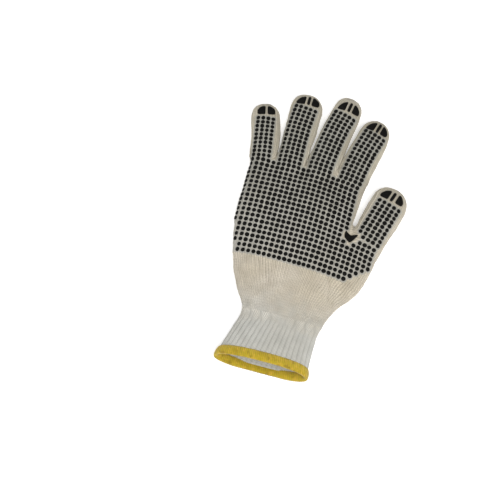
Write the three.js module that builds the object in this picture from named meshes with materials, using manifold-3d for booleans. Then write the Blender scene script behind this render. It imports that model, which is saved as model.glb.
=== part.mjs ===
import * as THREE from 'three';
import { ParametricGeometry } from 'three/addons/geometries/ParametricGeometry.js';
import { mergeVertices } from 'three/addons/utils/BufferGeometryUtils.js';
import Module from 'manifold-3d';

// Grip knit glove for the right hand, lying palm up on its back. Millimetres, X to the thumb side,
// Y to the fingertips, Z up. The tables are measured from a point in the middle of the palm, on the
// table top; the finished glove is then moved so that its box stands on the origin.

// Driving dimensions
const knitWall = 1.8;            // thickness of the knitted walls
const seamGap = 0.3;             // clearance between neighbouring pieces
const pressedDepth = 0.9;        // how far the soft underside is pressed flat
const bellyShare = 0.42;         // height of the widest line of a section, as a share of its height
const sectionPower = 2.35;       // 2 is an ellipse, more is squarer
const tipPower = 2.3;            // roundness of the fingertips, seen from above
const rootY = 61;                // where the finger tubes join the palm
const wristY = -66;              // where the knit ends and the cuff starts
const cuffEndY = -104.8;         // where the cuff ends and the hem starts, on the table side
const hemEndY = -111;            // the edge of the mouth, on the table side
const mouthSetBack = 6;          // how far the upper layer of the mouth lies behind the lower one
const ribCount = 34;             // lengthwise ribs around the cuff
const ribDepth = 0.9;            // from crest to groove
const hemSwell = 0.9;            // how far the hem's yarn stands out from the cuff
const hemShoulder = 0.08;        // share of the hem's width that its blunt edges take
const patchLift = 0.3;           // clearance under a grip patch
const patchHeight = 0.9;         // thickness of a grip patch
const patchMargin = 2.4;         // bare knit between the patches and the sides of the tip
const patchSetBack = 1.9;        // further bare knit between the patches and the end of the tip
const patchReach = 12.3;         // from the end of the tip to the patches' lower edge
const farAway = 90;              // beyond every outline, for the cutting shapes
const overcut = 3;               // how far a cutting shape runs past the face that it opens

// How finely the skins are divided: rings along a tube and sides around it
const fineFinger = { bodyRings: 7, tipRings: 5, sides: 24 };
const coarseFinger = { bodyRings: 6, tipRings: 4, sides: 16 };
const finePalm = { rings: 18, sides: 48 };
const coarsePalm = { rings: 10, sides: 30 };
const sidesPerRib = 4;
const fineCuff = { rings: 5, sides: ribCount * sidesPerRib };
const coarseCuff = { rings: 4, sides: 32 };
const fineHem = { rings: 5, sides: 48 };
const coarseHem = { rings: 2, sides: 32 };

const wasm = await Module();
wasm.setup();

// Palm: the sections from the wrist to the finger roots. height is at the middle of the section.
const palmRows = table(['y', 'left', 'right', 'height'], [
  [-66, -29.5, 36.0, 14.5],
  [-58, -33.5, 38.2, 15.0],
  [-48, -39.5, 43.0, 15.6],
  [-38, -44.5, 51.5, 16.2],
  [-28, -48.0, 57.0, 16.5],
  [-16, -51.5, 60.3, 16.5],
  [-4, -54.2, 61.8, 16.2],
  [5, -55.8, 57.0, 15.8],
  [13, -56.7, 46.5, 15.4],
  [20, -57.1, 40.2, 15.0],
  [32, -57.3, 39.2, 14.2],
  [45, -57.0, 40.0, 12.8],
  [54, -56.4, 40.5, 10.8],
  [61, -55.8, 40.9, 8.8],
]);

// Fingers: the centre line from inside the palm to the tip, with the width across it and the height.
// split is where the line to the next finger starts at the root, and lean is that line's slope.
// patches are the printed patches' edges across the tip, and printBack sets them further back.
const fingerTables = {
  pinky_finger: {
    tipLength: 12,
    rows: table(['x', 'y', 'width', 'height'], [
      [-42.5, 36, 20.0, 8.5],
      [-44.6, 56, 21.6, 11.4],
      [-46.0, 67, 21.8, 11.8],
      [-48.1, 80, 21.8, 11.8],
      [-50.7, 90, 21.9, 11.6],
      [-53.2, 100, 21.8, 11.2],
      [-55.5, 110.4, 21.0, 10.6],
    ]),
    left: { split: -farAway, lean: 0 },
    right: { split: -35.4, lean: 0 },
    patches: [[-7.0, -0.8], [1.1, 7.2]],
    printBack: 0.4,
  },
  ring_finger: {
    tipLength: 13,
    rows: table(['x', 'y', 'width', 'height'], [
      [-21.2, 34, 24.0, 9.0],
      [-21.6, 56, 24.8, 12.2],
      [-21.7, 68, 25.0, 12.6],
      [-21.8, 85, 25.4, 12.6],
      [-22.0, 100, 25.9, 12.4],
      [-22.1, 114, 26.2, 11.8],
      [-22.2, 127, 25.8, 11.2],
    ]),
    left: { split: -35.4, lean: 0 },
    right: { split: -10.6, lean: 0.085 },
    patches: [[-10.0, -2.8], [-1.0, 1.3], [3.0, 9.0]],
    printBack: 0.3,
  },
  middle_finger: {
    tipLength: 13,
    rows: table(['x', 'y', 'width', 'height'], [
      [2.6, 34, 25.0, 9.0],
      [3.5, 60, 26.0, 12.6],
      [4.8, 76, 26.6, 12.8],
      [6.9, 92, 26.4, 12.8],
      [9.4, 106, 25.4, 12.4],
      [11.8, 119, 24.6, 11.8],
      [14.0, 132.6, 24.2, 11.2],
    ]),
    left: { split: -10.6, lean: 0.085 },
    right: { split: 15.4, lean: 0.19 },
    patches: [[-10.2, -2.9], [-0.9, 1.3], [3.1, 8.9]],
    printBack: 2.7,
  },
  index_finger: {
    tipLength: 13,
    rows: table(['x', 'y', 'width', 'height'], [
      [25.6, 34, 24.0, 9.0],
      [28.2, 58, 25.0, 12.4],
      [31.2, 76, 25.6, 12.8],
      [34.0, 89, 25.6, 12.6],
      [37.4, 102, 24.6, 12.2],
      [41.6, 118, 24.0, 11.2],
    ]),
    left: { split: 15.4, lean: 0.19 },
    right: { split: farAway, lean: 0 },
    patches: [[-9.8, -2.6], [-0.7, 1.5], [3.2, 8.9]],
    printBack: 0.5,
  },
};

const thumbTable = {
  tipLength: 13,
  rows: table(['x', 'y', 'width', 'height'], [
    [43.0, -22, 27.0, 9.5],
    [49.2, 0, 27.0, 13.2],
    [54.6, 19, 25.6, 14.0],
    [59.4, 36, 26.2, 13.6],
    [63.2, 49, 25.6, 12.8],
    [67.6, 62.6, 24.6, 11.8],
  ]),
  patches: [[-9.2, -2.4], [-0.5, 1.7], [3.4, 9.2]],
  printBack: 1.2,
};

// The thumb parts from the palm at this corner, which lies in the crotch beside the index finger.
const thumbCorner = { x: 40.35, y: 17.2 };
const thumbSeamSlope = -0.27;    // slope of the seam from the corner to the outer side

// Cuff: from the wrist to the mouth, leaning a little to the side of the little finger.
const cuffRows = table(['y', 'left', 'right', 'height', 'setBack'], [
  [wristY - seamGap, -29.5, 36.0, 14.5, 0],
  [-74, -30.2, 33.8, 14.6, 0.6],
  [-84, -32.4, 32.4, 15.2, 2.2],
  [-95, -35.6, 32.4, 16.2, 4.4],
  [cuffEndY, -38.4, 32.8, 17.0, mouthSetBack],
  [hemEndY, -39.8, 33.2, 17.4, mouthSetBack],
]);
const cuffDown = cuffRows.map((row) => ({ ...row, down: -row.y }));

// Folds in the upper layer: a ridge or groove along a line, with its height, half width and reach.
const foldRows = table(['x', 'y', 'angle', 'length', 'halfWidth', 'height'], [
  [31, 3, 38, 30, 6.5, -1.6],       // valley from the thumb crotch into the palm
  [42, -14, 62, 26, 10.0, 1.5],     // ball of the thumb
  [-34, -22, 100, 34, 10.0, 1.2],   // ball of the little finger
  [2, -28, 92, 26, 8.0, -1.3],      // hollow of the palm
  [-18, 20, 12, 30, 5.0, -0.7],     // slack across the palm
  [12, 33, -8, 26, 4.5, 0.7],
]);
const gatherPitch = 8.2;         // from one gather to the next, across the wrist
const gatherHeight = 0.75;
const gatherReach = 30;          // how far the gathers run up from the wrist
const gatherLean = 0.12;         // how far a gather leans to the side, for each millimetre up

// Thumb crotch patch: the outline on the palm, each row a curve's bend and its end
const crotchStart = { x: 35.2, y: 15.2 };
const crotchRows = table(['bendX', 'bendY', 'x', 'y'], [
  [34.4, 12.4, 35.3, 9.4],
  [37.4, 7.6, 39.9, 5.8],
  [41.4, 7.6, 43.0, 10.2],
  [44.1, 12.1, 45.2, 14.0],
  [42.6, 13.4, 39.7, 12.1],
  [37.2, 13.4, crotchStart.x, crotchStart.y],
]);
const crotchCurveSteps = 3;

const knitCream = { color: 0xb9b09a, roughness: 0.95, metalness: 0 };
const ribWhite = { color: 0xc2c1b8, roughness: 0.95, metalness: 0 };
const hemYellow = { color: 0xb89a28, roughness: 0.9, metalness: 0 };
const gripBlack = { color: 0x151512, roughness: 0.55, metalness: 0 };

function table(columns, rows) {
  return rows.map((row) => Object.fromEntries(columns.map((column, i) => [column, row[i]])));
}

// One column of a table at any station, smooth through its rows
function readColumn(rows, column, station, key) {
  const last = rows.length - 1;
  let i = 0;
  while (i < last - 1 && station > rows[i + 1][key]) i += 1;
  const slope = (j) => {
    const before = rows[Math.max(j - 1, 0)];
    const after = rows[Math.min(j + 1, last)];
    return (after[column] - before[column]) / (after[key] - before[key]);
  };
  const span = rows[i + 1][key] - rows[i][key];
  const t = THREE.MathUtils.clamp((station - rows[i][key]) / span, 0, 1);
  const rise = rows[i + 1][column] - rows[i][column];
  const start = slope(i) * span;
  const end = slope(i + 1) * span;
  return rows[i][column] + start * t + (3 * rise - 2 * start - end) * t * t
    + (start + end - 2 * rise) * t * t * t;
}

function signedPower(value, power) {
  return Math.sign(value) * Math.abs(value) ** power;
}

// The angles that share out a section's outline evenly, so that points and ribs are equally spaced
function evenAngles(halfWidth, height, count) {
  const samples = 240;
  const outline = [];
  for (let i = 0; i <= samples; i += 1) {
    const angle = 2 * Math.PI * i / samples;
    const across = halfWidth * signedPower(Math.cos(angle), 2 / sectionPower);
    const up = 0.5 * height * signedPower(Math.sin(angle), 2 / sectionPower);
    const step = i === 0 ? 0 : Math.hypot(across - outline[i - 1].across, up - outline[i - 1].up);
    outline.push({ angle, across, up, run: i === 0 ? 0 : outline[i - 1].run + step });
  }
  const angles = [];
  let at = 0;
  for (let k = 0; k < count; k += 1) {
    const target = outline[samples].run * k / count;
    while (outline[at + 1].run < target) at += 1;
    const share = (target - outline[at].run) / (outline[at + 1].run - outline[at].run);
    angles.push(outline[at].angle + share * (outline[at + 1].angle - outline[at].angle));
  }
  return angles;
}

// Height that the folds and gathers add to the upper layer at a place
function foldHeight(x, y) {
  let height = 0;
  for (const fold of foldRows) {
    const angle = THREE.MathUtils.degToRad(fold.angle);
    const along = (x - fold.x) * Math.cos(angle) + (y - fold.y) * Math.sin(angle);
    const across = (y - fold.y) * Math.cos(angle) - (x - fold.x) * Math.sin(angle);
    height += fold.height * Math.exp(-((along / (0.5 * fold.length)) ** 2) - (across / fold.halfWidth) ** 2);
  }
  const gathered = THREE.MathUtils.smoothstep(wristY + gatherReach - y, 0, gatherReach);
  const shifted = x + gatherLean * (y - wristY);
  return height + gathered * gatherHeight * Math.cos(2 * Math.PI * shifted / gatherPitch);
}

// One point of a section, before it is turned into place; shrink is 1 except where the tube closes
function sectionPoint(angle, halfWidth, height, shrink = 1) {
  const belly = bellyShare * height;
  const across = halfWidth * shrink * signedPower(Math.cos(angle), 2 / sectionPower);
  const rise = signedPower(Math.sin(angle), 2 / sectionPower) * shrink;
  const up = belly + (rise > 0 ? height - belly : belly + pressedDepth) * rise;
  return { across, up };
}

// A closed skin through rings of points, whose first and last ring are single points
function closedSkin(rings) {
  const sides = Math.max(...rings.map((ring) => ring.length));
  const pointAt = (u, v, target) => {
    const ring = rings[Math.round(v * (rings.length - 1))];
    target.copy(ring[Math.round((1 - u) * sides) % ring.length]);
  };
  return solidOf(new ParametricGeometry(pointAt, sides, rings.length - 1));
}

function solidOf(geometry) {
  geometry.deleteAttribute('normal');
  geometry.deleteAttribute('uv');
  const merged = mergeVertices(geometry, 1e-4);
  const corners = merged.index.array;
  const kept = [];
  for (let i = 0; i < corners.length; i += 3) {
    const [a, b, c] = [corners[i], corners[i + 1], corners[i + 2]];
    if (a !== b && b !== c && c !== a) kept.push(a, b, c);
  }
  const solid = new wasm.Manifold(new wasm.Mesh({
    numProp: 3,
    vertProperties: new Float32Array(merged.attributes.position.array),
    triVerts: new Uint32Array(kept),
  }));
  return solid;
}

function flatCap(ring) {
  const middle = ring.reduce((sum, point) => sum.add(point), new THREE.Vector3()).divideScalar(ring.length);
  return ring.map(() => middle.clone());
}

// The palm tube, from a level below the wrist up to the finger roots. grow is how far its surface
// lies outside the knit's outer face.
function palmTube(grow, fromY, fineness) {
  const rings = [];
  for (let i = 0; i <= fineness.rings; i += 1) {
    const y = fromY + (rootY - fromY) * i / fineness.rings;
    const left = readColumn(palmRows, 'left', y, 'y') - grow;
    const right = readColumn(palmRows, 'right', y, 'y') + grow;
    const height = readColumn(palmRows, 'height', y, 'y') + grow;
    const halfWidth = (right - left) / 2;
    const ring = evenAngles(halfWidth, height, fineness.sides).map((angle) => {
      const { across, up } = sectionPoint(angle, halfWidth, height);
      const x = (left + right) / 2 + across;
      const lift = foldHeight(x, y) * Math.max(0, up / height) ** 2;
      return new THREE.Vector3(x, y, up + lift);
    });
    rings.push(ring);
  }
  return closedSkin([flatCap(rings[0]), ...rings, flatCap(rings[fineness.rings])]);
}

// A finger's tube with its rounded tip. tall makes it an upright prism of the same outline instead.
function fingerTube(finger, grow, { bodyRings, tipRings, sides }, tall = false) {
  const line = new THREE.CatmullRomCurve3(finger.rows.map((row) => new THREE.Vector3(row.x, row.y, 0)));
  const length = line.getLength() + grow;
  const tipLength = finger.tipLength + grow;
  const stations = [];
  for (let i = 0; i <= bodyRings; i += 1) {
    stations.push({ along: (length - tipLength) * i / bodyRings, shrink: 1 });
  }
  for (let i = 1; i <= tipRings; i += 1) {
    const reach = Math.sin(0.5 * Math.PI * i / tipRings);
    const shrink = (1 - reach ** tipPower) ** (1 / tipPower);
    stations.push({ along: length - tipLength * (1 - reach), shrink: i === tipRings ? 0 : shrink });
  }
  const rings = stations.map(({ along, shrink }) => {
    const share = Math.min(along / line.getLength(), 1);
    const centre = line.getPointAt(share);
    const heading = line.getTangentAt(share);
    centre.addScaledVector(heading, Math.max(0, along - line.getLength()));
    const halfWidth = readColumn(finger.rows, 'width', centre.y, 'y') / 2 + grow;
    const height = readColumn(finger.rows, 'height', centre.y, 'y') + grow;
    return evenAngles(halfWidth, height, sides).map((angle) => {
      const { across, up } = sectionPoint(angle, halfWidth, height, shrink);
      const level = tall ? farAway * Math.sign(Math.sin(angle)) * (shrink > 0 ? 1 : 0) : up;
      return new THREE.Vector3(centre.x + across * heading.y, centre.y - across * heading.x, level);
    });
  });
  return closedSkin([flatCap(rings[0]), ...rings]);
}

// The cuff's tube, whose upper layer is set back towards the mouth
function cuffTube(grow, fromY, toY, fineness, ribs = 0, swell = () => 0) {
  const { sides } = fineness;
  const rings = [];
  for (let i = 0; i <= fineness.rings; i += 1) {
    const share = i / fineness.rings;
    const y = fromY + (toY - fromY) * share;
    const growth = grow + swell(share);
    const left = readColumn(cuffDown, 'left', -y, 'down') - growth;
    const right = readColumn(cuffDown, 'right', -y, 'down') + growth;
    const height = readColumn(cuffDown, 'height', -y, 'down') + growth;
    const setBack = readColumn(cuffDown, 'setBack', -y, 'down');
    const halfWidth = (right - left) / 2;
    const ring = evenAngles(halfWidth, height, sides).map((angle, k) => {
      const rib = ribs === 0 ? 0 : 0.5 * ribDepth * (Math.cos(2 * Math.PI * ribs * k / sides) - 1);
      const { across, up } = sectionPoint(angle, halfWidth + rib, height + rib);
      const x = (left + right) / 2 + across;
      return new THREE.Vector3(x, y + setBack * Math.max(0, up) / height, up);
    });
    rings.push(ring);
  }
  rings.reverse();
  return closedSkin([flatCap(rings[0]), ...rings, flatCap(rings[fineness.rings])]);
}

// Everything above a level, to cut the pressed underside flat
function above(level) {
  const block = new THREE.BoxGeometry(4 * farAway, 4 * farAway, farAway);
  block.translate(0, 0, level + farAway / 2);
  return solidOf(block);
}

// An upright prism over an outline on the table
function prism(points) {
  const shape = new THREE.Shape(points.map(([x, y]) => new THREE.Vector2(x, y)));
  const geometry = new THREE.ExtrudeGeometry(shape, { depth: 2 * farAway, bevelEnabled: false });
  geometry.translate(0, 0, -farAway);
  return solidOf(geometry);
}

const fingerNames = Object.keys(fingerTables);
const outerFingers = fingerNames.map((name) => fingerTube(fingerTables[name], 0, fineFinger));
const innerFingers = fingerNames.map((name) => fingerTube(fingerTables[name], -knitWall, coarseFinger));
const outerThumb = fingerTube(thumbTable, 0, fineFinger);
const innerThumb = fingerTube(thumbTable, -knitWall, coarseFinger);
const outerPalm = palmTube(0, wristY, finePalm);
const innerPalm = palmTube(-knitWall, wristY - overcut, coarsePalm);

const tableTop = above(0);
const insideFloor = above(knitWall);
const outerHand = outerFingers.reduce((sum, finger) => sum.add(finger), outerPalm.add(outerThumb));
const innerHand = innerFingers.reduce((sum, finger) => sum.add(finger), innerPalm.add(innerThumb));
const handHollow = innerHand.intersect(insideFloor);

// The thumb's side of its seam with the palm; grow moves the seam towards the palm
function thumbSide(grow) {
  const { x, y } = thumbCorner;
  return prism([
    [x - grow, y - grow],
    [farAway, y - grow + thumbSeamSlope * (farAway - x)],
    [farAway, farAway],
    [x - grow, farAway],
  ]);
}

// The strip of the hand that belongs to one finger
function fingerSide(finger) {
  const start = rootY + seamGap / 2;
  const end = rootY + farAway;
  const edge = (side, y, shift) => [side.split + side.lean * (y - rootY) + shift, y];
  return prism([
    edge(finger.left, start, seamGap / 2),
    edge(finger.right, start, -seamGap / 2),
    edge(finger.right, end, -seamGap / 2),
    edge(finger.left, end, seamGap / 2),
  ]);
}

function knitPalm() {
  const below = prism([
    [-farAway, 2 * -farAway],
    [farAway, 2 * -farAway],
    [farAway, rootY - seamGap / 2],
    [-farAway, rootY - seamGap / 2],
  ]);
  return outerHand.intersect(below).subtract(thumbSide(seamGap)).intersect(tableTop).subtract(handHollow);
}

function knitFinger(name, i) {
  return outerFingers[i].intersect(fingerSide(fingerTables[name])).intersect(tableTop).subtract(handHollow);
}

function knitThumb() {
  return outerThumb.intersect(thumbSide(0)).intersect(tableTop).subtract(handHollow);
}

function ribbedCuff() {
  const outer = cuffTube(0, wristY - seamGap, cuffEndY, fineCuff, ribCount);
  const inner = cuffTube(-knitWall - ribDepth / 2, wristY + overcut, cuffEndY - overcut, coarseCuff);
  return outer.intersect(tableTop).subtract(inner.intersect(insideFloor));
}

function overlockHem() {
  const lip = (share) => {
    const shoulder = THREE.MathUtils.clamp(share, hemShoulder, 1 - hemShoulder);
    return hemSwell * Math.sqrt(Math.sin(Math.PI * shoulder));
  };
  const outer = cuffTube(0, cuffEndY - seamGap, hemEndY, fineHem, 0, lip);
  const inner = cuffTube(-knitWall - ribDepth / 2, cuffEndY + overcut, hemEndY - overcut, coarseHem);
  return outer.intersect(tableTop).subtract(inner.intersect(insideFloor));
}

// One printed patch on a fingertip, between two distances across the finger
function tipPatch(finger, from, to) {
  const crust = fingerTube(finger, patchLift + patchHeight, fineFinger)
    .subtract(fingerTube(finger, patchLift, fineFinger));
  const line = new THREE.CatmullRomCurve3(finger.rows.map((row) => new THREE.Vector3(row.x, row.y, 0)));
  const tip = line.getPointAt(1);
  const heading = line.getTangentAt(1);
  const back = heading.clone().multiplyScalar(-patchSetBack - finger.printBack);
  const outline = fingerTube(finger, -patchMargin, fineFinger, true).translate(back.x, back.y, 0);
  const place = (across, along) => [
    tip.x + across * heading.y + along * heading.x,
    tip.y - across * heading.x + along * heading.y,
  ];
  const reach = patchReach + finger.printBack;
  const strip = prism([place(from, -reach), place(to, -reach), place(to, 0), place(from, 0)]);
  const upperSide = above(bellyShare * finger.rows[0].height);
  return crust.intersect(outline).intersect(strip).intersect(upperSide);
}

// The printed patch at the thumb crotch, a V that opens towards the crotch
function crotchPatch() {
  const lifted = (grow) => palmTube(grow, wristY, finePalm).add(fingerTube(thumbTable, grow, fineFinger));
  const crust = lifted(patchLift + patchHeight).subtract(lifted(patchLift));
  const shape = new THREE.Shape();
  shape.moveTo(crotchStart.x, crotchStart.y);
  for (const row of crotchRows) shape.quadraticCurveTo(row.bendX, row.bendY, row.x, row.y);
  const settings = { depth: farAway, bevelEnabled: false, curveSegments: crotchCurveSteps };
  const outline = solidOf(new THREE.ExtrudeGeometry(shape, settings));
  const upperSide = above(bellyShare * palmRows[palmRows.length - 1].height);
  return crust.intersect(outline).intersect(upperSide);
}

function meshOf(name, solid, finish) {
  const { vertProperties, triVerts } = solid.getMesh();
  const geometry = new THREE.BufferGeometry();
  geometry.setAttribute('position', new THREE.BufferAttribute(new Float32Array(vertProperties), 3));
  geometry.setIndex(new THREE.BufferAttribute(new Uint32Array(triVerts), 1));
  geometry.computeVertexNormals();
  const mesh = new THREE.Mesh(geometry, new THREE.MeshStandardMaterial(finish));
  mesh.name = name;
  return mesh;
}

const glove = new THREE.Group();
glove.name = 'grip_knit_glove';
glove.add(meshOf('knit_palm', knitPalm(), knitCream));
fingerNames.forEach((name, i) => glove.add(meshOf(name, knitFinger(name, i), knitCream)));
glove.add(meshOf('thumb', knitThumb(), knitCream));
glove.add(meshOf('ribbed_cuff', ribbedCuff(), ribWhite));
glove.add(meshOf('overlock_hem', overlockHem(), hemYellow));
for (const [name, finger] of [...Object.entries(fingerTables), ['thumb', thumbTable]]) {
  finger.patches.forEach(([from, to], i) => {
    const patchName = `${name.replace('_finger', '')}_tip_patch_${i + 1}`;
    glove.add(meshOf(patchName, tipPatch(finger, from, to), gripBlack));
  });
}
glove.add(meshOf('thumb_crotch_patch', crotchPatch(), gripBlack));

// The glove's box stands on the origin
const box = new THREE.Box3().setFromObject(glove);
const middle = box.getCenter(new THREE.Vector3());
glove.position.set(-middle.x, -middle.y, -box.min.z);

export default glove;
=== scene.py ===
import math
import random

import bmesh
import bpy
import numpy as np
from mathutils import Matrix, Vector, noise
from mathutils.bvhtree import BVHTree
from mathutils.kdtree import KDTree


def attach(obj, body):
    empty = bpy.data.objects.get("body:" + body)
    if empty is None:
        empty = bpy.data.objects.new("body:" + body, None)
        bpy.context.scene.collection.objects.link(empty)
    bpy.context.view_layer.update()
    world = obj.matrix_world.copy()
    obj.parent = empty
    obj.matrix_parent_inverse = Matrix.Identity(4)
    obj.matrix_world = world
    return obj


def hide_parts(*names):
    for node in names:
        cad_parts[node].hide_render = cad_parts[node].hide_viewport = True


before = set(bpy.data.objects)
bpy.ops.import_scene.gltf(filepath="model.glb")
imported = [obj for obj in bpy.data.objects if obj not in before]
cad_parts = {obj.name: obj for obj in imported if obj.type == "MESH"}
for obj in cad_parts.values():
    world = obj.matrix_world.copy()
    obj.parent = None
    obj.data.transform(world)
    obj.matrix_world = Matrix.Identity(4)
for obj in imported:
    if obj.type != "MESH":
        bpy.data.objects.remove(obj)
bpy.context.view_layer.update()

# Grip knit glove, right hand, palm up. The pattern of the glove is in millimetres from a point in
# the middle of the palm, X to the thumb side and Y to the fingertips. Objects are in metres.
patternShift = (-6.2375, -10.8544, 0.0)  # from the pattern's point to the glove's own origin
milli = 0.001
clearance = 0.05  # millimetres between the lowest yarn and the floor
overhead = 0.06  # metres, the height from which rays look down on the glove
downward = Vector((0, 0, -1))
scene = bpy.context.scene


def spot(x, y, z=0.0):
    return Vector((x + patternShift[0], y + patternShift[1], z + patternShift[2])) * milli


def inPattern(points):
    return points / milli - np.array(patternShift)


def smoothStep(low, high, value):
    t = np.clip((value - low) / (high - low), 0, 1)
    return t * t * (3 - 2 * t)


def between(low, high, share):
    return low + (high - low) * share


# Columns of a table that is read by pattern y
def readAt(table, column, y):
    return np.interp(y, table["y"], table[column])


def outlineAt(table, y):
    return (readAt(table, column, y) for column in ("left", "right", "height"))


def runningLength(steps):
    return np.concatenate([[0], np.cumsum(steps)])


def heightOn(tree, point):
    hit = tree.ray_cast(Vector((point.x, point.y, overhead)), downward)[0]
    return hit.z if hit else 0.0


def addObject(name, data):
    made = bpy.data.objects.new(name, data)
    scene.collection.objects.link(made)
    return made


def toMesh(name, bm):
    mesh = bpy.data.meshes.new(name)
    bm.to_mesh(mesh)
    bm.free()
    return mesh


def meshObject(name, bm, material):
    for face in bm.faces:
        face.smooth = True
    mesh = toMesh(name, bm)
    mesh.materials.append(material)
    return addObject(name, mesh)


def newPiece(name, bm, material):
    piece = meshObject(name, bm, material)
    return piece


def nodeCopy(bm, *names):
    for name in names:
        bm.from_mesh(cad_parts[name].data)
    bmesh.ops.remove_doubles(bm, verts=bm.verts, dist=1e-6)


# Puts all of another bmesh into this one
def takeIn(bm, other):
    mesh = toMesh("carrier", other)
    bm.from_mesh(mesh)
    bpy.data.meshes.remove(mesh)


def remeshed(bm, voxel):
    mesh = toMesh("remeshed", bm)
    carrier = addObject("remeshed", mesh)
    remesh = carrier.modifiers.new("voxels", "REMESH")
    remesh.mode = "VOXEL"
    remesh.voxel_size = voxel
    evaluated = carrier.evaluated_get(bpy.context.evaluated_depsgraph_get())
    result = bmesh.new()
    result.from_mesh(evaluated.to_mesh())
    evaluated.to_mesh_clear()
    bpy.data.objects.remove(carrier)
    bpy.data.meshes.remove(mesh)
    return result


def smoothed(bm, rounds):
    for _ in range(rounds):
        bmesh.ops.smooth_vert(bm, verts=bm.verts, factor=0.5,
                              use_axis_x=True, use_axis_y=True, use_axis_z=True)


def vertexArray(bm):
    return np.array([v.co[:] for v in bm.verts])


def lookAlong(direction):
    return direction.to_track_quat("-Z", "Y").to_euler()


# Camera, at the photograph's angle
cameraView = {
    "azimuth": 15, "elevation": 72, "distance": 0.9,
    "target": (-43.5, -11.65, 0.0),  # pattern point mid-picture
    "lens": 82.5, "sensor": 36, "nearest": 0.01,
}


def makeCamera():
    turn = math.radians(cameraView["azimuth"])
    rise = math.radians(cameraView["elevation"])
    flat = math.cos(rise)
    away = Vector((math.sin(turn) * flat, -math.cos(turn) * flat, math.sin(rise)))
    camera = addObject("camera", bpy.data.cameras.new("camera"))
    camera.location = spot(*cameraView["target"]) + away * cameraView["distance"]
    camera.rotation_euler = lookAlong(-away)
    camera.data.lens = cameraView["lens"]
    camera.data.sensor_width = cameraView["sensor"]
    camera.data.clip_start = cameraView["nearest"]
    scene.camera = camera
    print("camera set")


makeCamera()


# Materials: short ways to add nodes, then the four finishes
def addNode(tree, kind, inputs=None, **settings):
    node = tree.nodes.new(kind)
    for key, value in settings.items():
        setattr(node, key, value)
    for key, value in (inputs or {}).items():
        if isinstance(value, bpy.types.NodeSocket):
            tree.links.new(value, node.inputs[key])
        else:
            node.inputs[key].default_value = value
    return node


def calc(tree, operation, a, b=0.0, c=0.0):
    return addNode(tree, "ShaderNodeMath", {0: a, 1: b, 2: c}, operation=operation).outputs[0]


def plus(tree, a, b):
    return calc(tree, "ADD", a, b)


def times(tree, a, b):
    return calc(tree, "MULTIPLY", a, b)


# 0 at whole numbers, 1 halfway between two
def ripple(tree, value):
    return calc(tree, "ABSOLUTE", calc(tree, "SINE", times(tree, value, math.pi)))


def split(tree, vector):
    return addNode(tree, "ShaderNodeSeparateXYZ", {0: vector}).outputs


def ranged(tree, value, band, result=(0.0, 1.0), **settings):
    inputs = {0: value, 1: band[0], 2: band[1], 3: result[0], 4: result[1]}
    return addNode(tree, "ShaderNodeMapRange", inputs, **settings).outputs[0]


def blendColor(tree, share, first, second, **settings):
    inputs = {0: share, 6: first, 7: second}
    return addNode(tree, "ShaderNodeMix", inputs, data_type="RGBA", **settings).outputs[2]


def noiseAt(tree, place, scale, detail=2.0):
    inputs = {"Vector": place, "Scale": scale, "Detail": detail}
    return addNode(tree, "ShaderNodeTexNoise", inputs).outputs[0]


def noiseShare(tree, place, scale, detail=2.0, band=(0.35, 0.65)):
    return ranged(tree, noiseAt(tree, place, scale, detail), band)


def fromSrgb(*channels):
    linear = [((v / 255 + 0.055) / 1.055) ** 2.4 if v > 10 else v / 255 / 12.92 for v in channels]
    return (*linear, 1.0)


def newMaterial(name, **sockets):
    material = bpy.data.materials.new(name)
    material.use_nodes = True
    tree = material.node_tree
    shader = tree.nodes["Principled BSDF"]
    for key, value in sockets.items():
        shader.inputs[key.replace("_", " ")].default_value = value
    return material, tree, shader


def objectPlace(tree):
    return addNode(tree, "ShaderNodeTexCoord").outputs["Object"]


# Wales across and courses along, from the piece's own map
def knitPlace(tree):
    return split(tree, addNode(tree, "ShaderNodeUVMap", uv_map="knit").outputs[0])[:2]


def finishMaterial(tree, shader, color, relief, strength, distance):
    tree.links.new(color, shader.inputs["Base Color"])
    inputs = {"Height": relief, "Strength": strength, "Distance": distance}
    tree.links.new(addNode(tree, "ShaderNodeBump", inputs).outputs[0], shader.inputs["Normal"])


clothLooks = {  # colours in sRGB, bands in metres of object Y
    "knitCotton": {
        # shade: the colour of the painted shade in the stitch grooves, also taken by worn patches
        "light": (222, 213, 197), "shade": (150, 139, 118), "warm": (214, 203, 182),
        "legSlant": 0.75, "relief": 0.0008, "wobble": 0.28, "courseDepth": 0.6,
        "printed": (159, 160, 157), "printedShare": 0.65,
        # painted shade: the knit is multiplied darker toward the fingertips over this band of
        # object Y
        "paintedFingerShade": (0.84, 0.855, 0.835, 1.0), "paintedFingerShadeBand": (-0.02, 0.06),
    },
    "ribCotton": {
        "light": (214, 213, 206), "shade": (150, 149, 141), "warm": (204, 202, 193),
        "legSlant": 0.6, "relief": 0.0006, "wobble": 0.24, "courseDepth": 0.5,
        # painted shade in the furrows between the ribs, growing along this band of object Y
        "furrowShadeShare": (0.1, 0.6), "furrowShadeBand": (-0.076, -0.092), "furrowShadePower": 2.5,
    },
}
clothYarn = {  # the same for both, with noise scales per metre
    "loose": 150.0, "blotches": 34.0,
    "worn": (120.0, 4.0, (0.3, 0.75)), "wornShare": 0.35,  # scale, detail, band of the noise
    "fibres": (2600.0, 3.0), "fibreShare": 0.35, "bump": 0.8,
    # the last band is the stitch height over which the painted shade in the grooves gives way to
    # the yarn's light colour
    "legPower": 0.6, "coursePower": 0.5, "paintedShadeBand": (0.15, 1.05),
    "wristBand": (-0.052, -0.094), "wristWander": 0.02,  # the cream fades to the ribs' grey
}


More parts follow.
